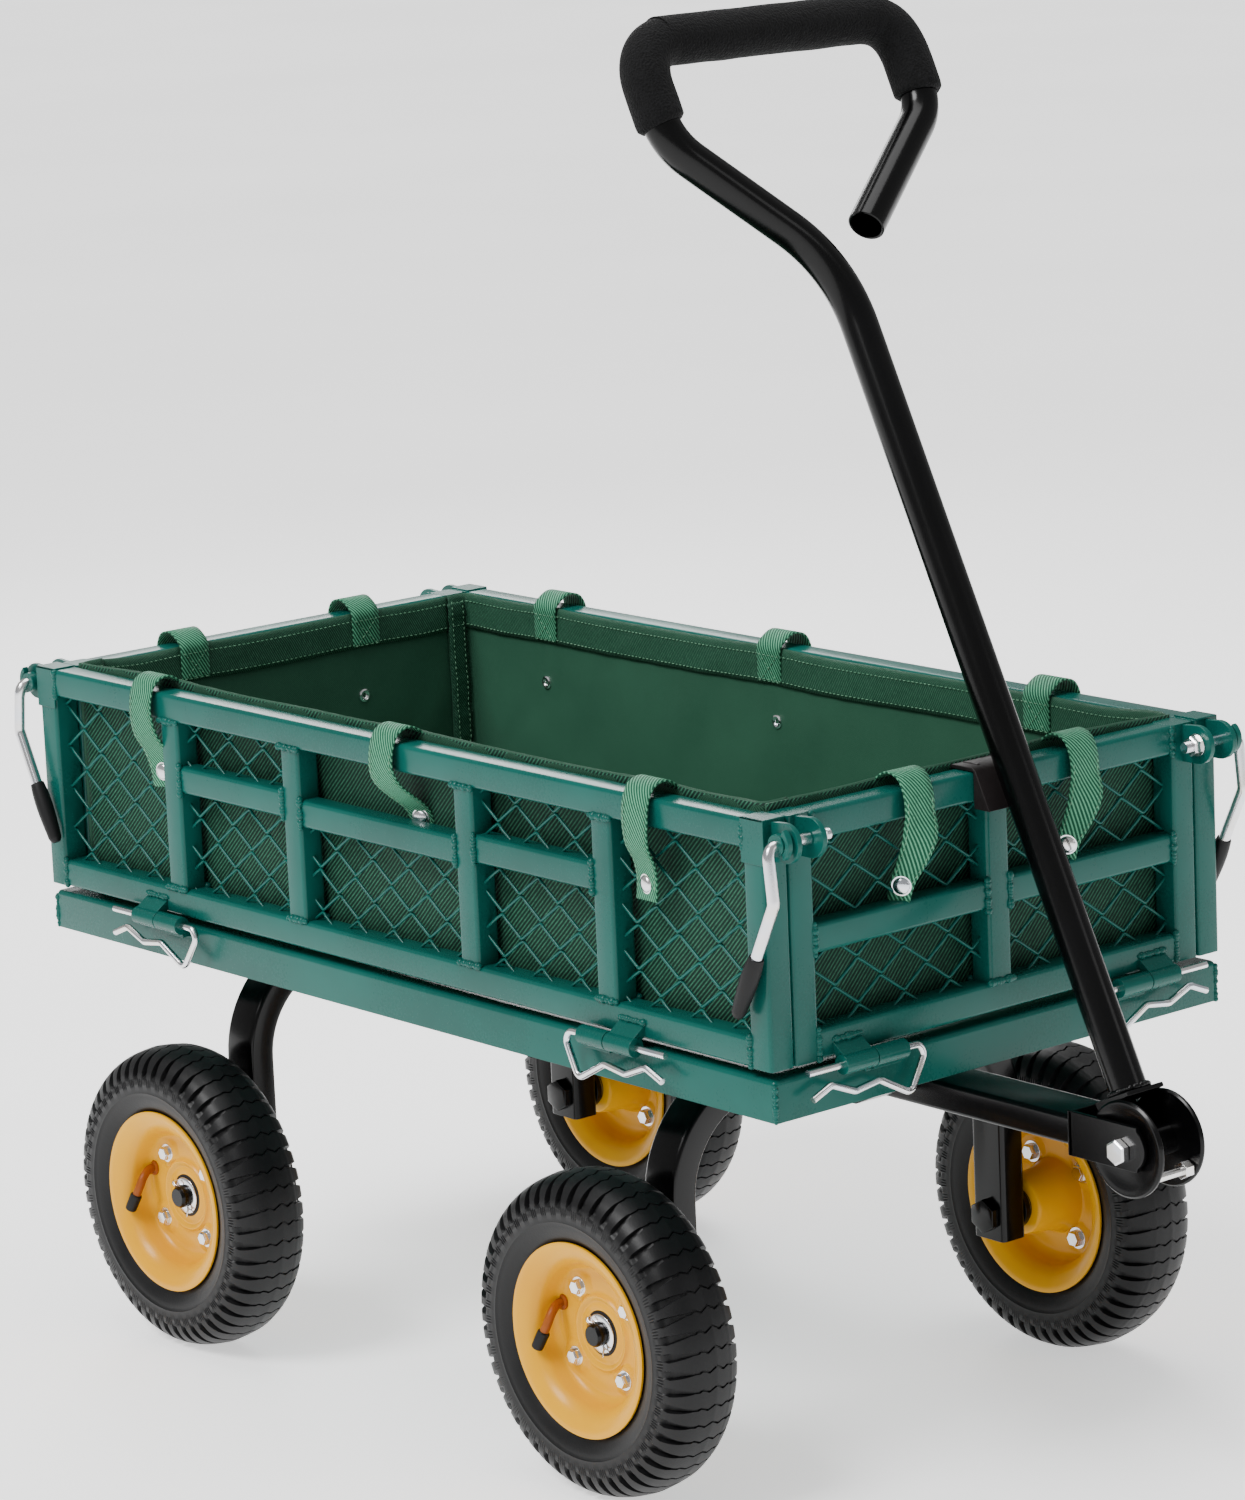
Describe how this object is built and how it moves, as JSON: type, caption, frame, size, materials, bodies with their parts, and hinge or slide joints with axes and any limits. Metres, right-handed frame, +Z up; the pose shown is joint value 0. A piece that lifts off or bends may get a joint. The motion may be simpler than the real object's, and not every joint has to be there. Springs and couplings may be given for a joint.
{
  "type": "garden cart",
  "caption": "Four-wheeled steel garden cart with fold-down wire mesh sides, cloth liner and a steering pull handle with a foam loop grip.",
  "frame": {"origin": "on the ground under the middle of the whole cart's box", "axes": "+X forward to the pull handle, +Y to the cart's right side in the names used here, +Z up"},
  "size_m": [0.983, 0.4776, 0.9583],
  "materials": {
    "green_paint": "glossy powder coat",
    "black_paint": "gloss black powder coat",
    "zinc": "bright zinc plate",
    "yellow_paint": "glossy yellow powder coat",
    "tyre": "moulded rubber",
    "rubber": "moulded rubber sleeve",
    "foam": "closed-cell foam with a fine grain",
    "liner_cloth": "coated woven polyester",
    "black_plastic": "matte moulded plastic"
  },
  "bodies": {
    "chassis": {"tray": "green_paint", "deck": "green_paint", "rear_arch": "black_paint", "swivel_plate": "black_paint", "liner_floor": "liner_cloth", "front_panel": "green_paint", "liner_front": "liner_cloth", "handle_clip": "black_plastic", "rear_left_axle": "black_paint", "rear_right_axle": "black_paint"},
    "steering": {"front_arch": "black_paint", "tongue": "black_paint", "front_left_axle": "black_paint", "front_right_axle": "black_paint", "pivot_bolt": "zinc"},
    "handle": {"handle_tube": "black_paint", "hitch_bracket": "black_paint", "foam_grip": "foam"},
    "left_side": {"left_panel": "green_paint", "liner_left": "liner_cloth"},
    "right_side": {"right_panel": "green_paint", "liner_right": "liner_cloth"},
    "rear_side": {"rear_panel": "green_paint", "liner_rear": "liner_cloth"},
    "latch_front_left": {"lever_front_left": "zinc", "lever_grip_front_left": "rubber"},
    "pin_left_front": {"hitch_pin_left_front": "zinc"},
    "pin_front_left": {"hitch_pin_front_left": "zinc"},
    "wheel_front_left": {"front_left_tyre": "tyre", "front_left_rim_outer": "yellow_paint", "front_left_rim_inner": "yellow_paint"},
    "latch_front_right": {"lever_front_right": "zinc", "lever_grip_front_right": "rubber"},
    "pin_right_front": {"hitch_pin_right_front": "zinc"},
    "pin_front_right": {"hitch_pin_front_right": "zinc"},
    "wheel_front_right": {"front_right_tyre": "tyre", "front_right_rim_outer": "yellow_paint", "front_right_rim_inner": "yellow_paint"},
    "latch_rear_left": {"lever_rear_left": "zinc", "lever_grip_rear_left": "rubber"},
    "pin_left_rear": {"hitch_pin_left_rear": "zinc"},
    "pin_rear_left": {"hitch_pin_rear_left": "zinc"},
    "wheel_rear_left": {"rear_left_tyre": "tyre", "rear_left_rim_outer": "yellow_paint", "rear_left_rim_inner": "yellow_paint"},
    "latch_rear_right": {"lever_rear_right": "zinc", "lever_grip_rear_right": "rubber"},
    "pin_right_rear": {"hitch_pin_right_rear": "zinc"},
    "pin_rear_right": {"hitch_pin_rear_right": "zinc"},
    "wheel_rear_right": {"rear_right_tyre": "tyre", "rear_right_rim_outer": "yellow_paint", "rear_right_rim_inner": "yellow_paint"}
  },
  "joints": [
    {"name": "steering_turn", "type": "hinge", "parent": "chassis", "child": "steering", "pos_m": [0.165, 0, 0.272], "axis": [0, 0, 1], "range_deg": [-13, 13]},
    {"name": "handle_swing", "type": "hinge", "parent": "steering", "child": "handle", "pos_m": [0.4595, 0, 0.25], "axis": [0, 1, 0], "range_deg": [0, 120]},
    {"name": "left_side_fold", "type": "hinge", "parent": "chassis", "child": "left_side", "pos_m": [-0.067, -0.211, 0.3115], "axis": [1, 0, 0], "range_deg": [0, 135]},
    {"name": "right_side_fold", "type": "hinge", "parent": "chassis", "child": "right_side", "pos_m": [-0.067, 0.211, 0.3115], "axis": [-1, 0, 0], "range_deg": [0, 135]},
    {"name": "rear_side_fold", "type": "hinge", "parent": "chassis", "child": "rear_side", "pos_m": [-0.474, 0, 0.3115], "axis": [0, -1, 0], "range_deg": [0, 150]},
    {"name": "latch_front_left_turn", "type": "hinge", "parent": "left_side", "child": "latch_front_left", "pos_m": [0.3445, -0.2105, 0.464], "axis": [0, -1, 0], "range_deg": [0, 150]},
    {"name": "pin_left_front_pull", "type": "slide", "parent": "chassis", "child": "pin_left_front", "axis": [-1, 0, 0], "range_m": [0, 0.085]},
    {"name": "pin_front_left_pull", "type": "slide", "parent": "chassis", "child": "pin_front_left", "axis": [0, 1, 0], "range_m": [0, 0.074]},
    {"name": "wheel_front_left_spin", "type": "hinge", "parent": "steering", "child": "wheel_front_left", "pos_m": [0.165, -0.209, 0.11], "axis": [0, 1, 0], "continuous": true},
    {"name": "latch_front_right_turn", "type": "hinge", "parent": "right_side", "child": "latch_front_right", "pos_m": [0.3445, 0.2105, 0.464], "axis": [0, -1, 0], "range_deg": [0, 150]},
    {"name": "pin_right_front_pull", "type": "slide", "parent": "chassis", "child": "pin_right_front", "axis": [-1, 0, 0], "range_m": [0, 0.085]},
    {"name": "pin_front_right_pull", "type": "slide", "parent": "chassis", "child": "pin_front_right", "axis": [0, -1, 0], "range_m": [0, 0.074]},
    {"name": "wheel_front_right_spin", "type": "hinge", "parent": "steering", "child": "wheel_front_right", "pos_m": [0.165, 0.209, 0.11], "axis": [0, 1, 0], "continuous": true},
    {"name": "latch_rear_left_turn", "type": "hinge", "parent": "left_side", "child": "latch_rear_left", "pos_m": [-0.4785, -0.2105, 0.464], "axis": [0, 1, 0], "range_deg": [0, 150]},
    {"name": "pin_left_rear_pull", "type": "slide", "parent": "chassis", "child": "pin_left_rear", "axis": [1, 0, 0], "range_m": [0, 0.085]},
    {"name": "pin_rear_left_pull", "type": "slide", "parent": "chassis", "child": "pin_rear_left", "axis": [0, 1, 0], "range_m": [0, 0.074]},
    {"name": "wheel_rear_left_spin", "type": "hinge", "parent": "chassis", "child": "wheel_rear_left", "pos_m": [-0.301, -0.209, 0.11], "axis": [0, 1, 0], "continuous": true},
    {"name": "latch_rear_right_turn", "type": "hinge", "parent": "right_side", "child": "latch_rear_right", "pos_m": [-0.4785, 0.2105, 0.464], "axis": [0, 1, 0], "range_deg": [0, 150]},
    {"name": "pin_right_rear_pull", "type": "slide", "parent": "chassis", "child": "pin_right_rear", "axis": [1, 0, 0], "range_m": [0, 0.085]},
    {"name": "pin_rear_right_pull", "type": "slide", "parent": "chassis", "child": "pin_rear_right", "axis": [0, -1, 0], "range_m": [0, 0.074]},
    {"name": "wheel_rear_right_spin", "type": "hinge", "parent": "chassis", "child": "wheel_rear_right", "pos_m": [-0.301, 0.209, 0.11], "axis": [0, 1, 0], "continuous": true}
  ]
}
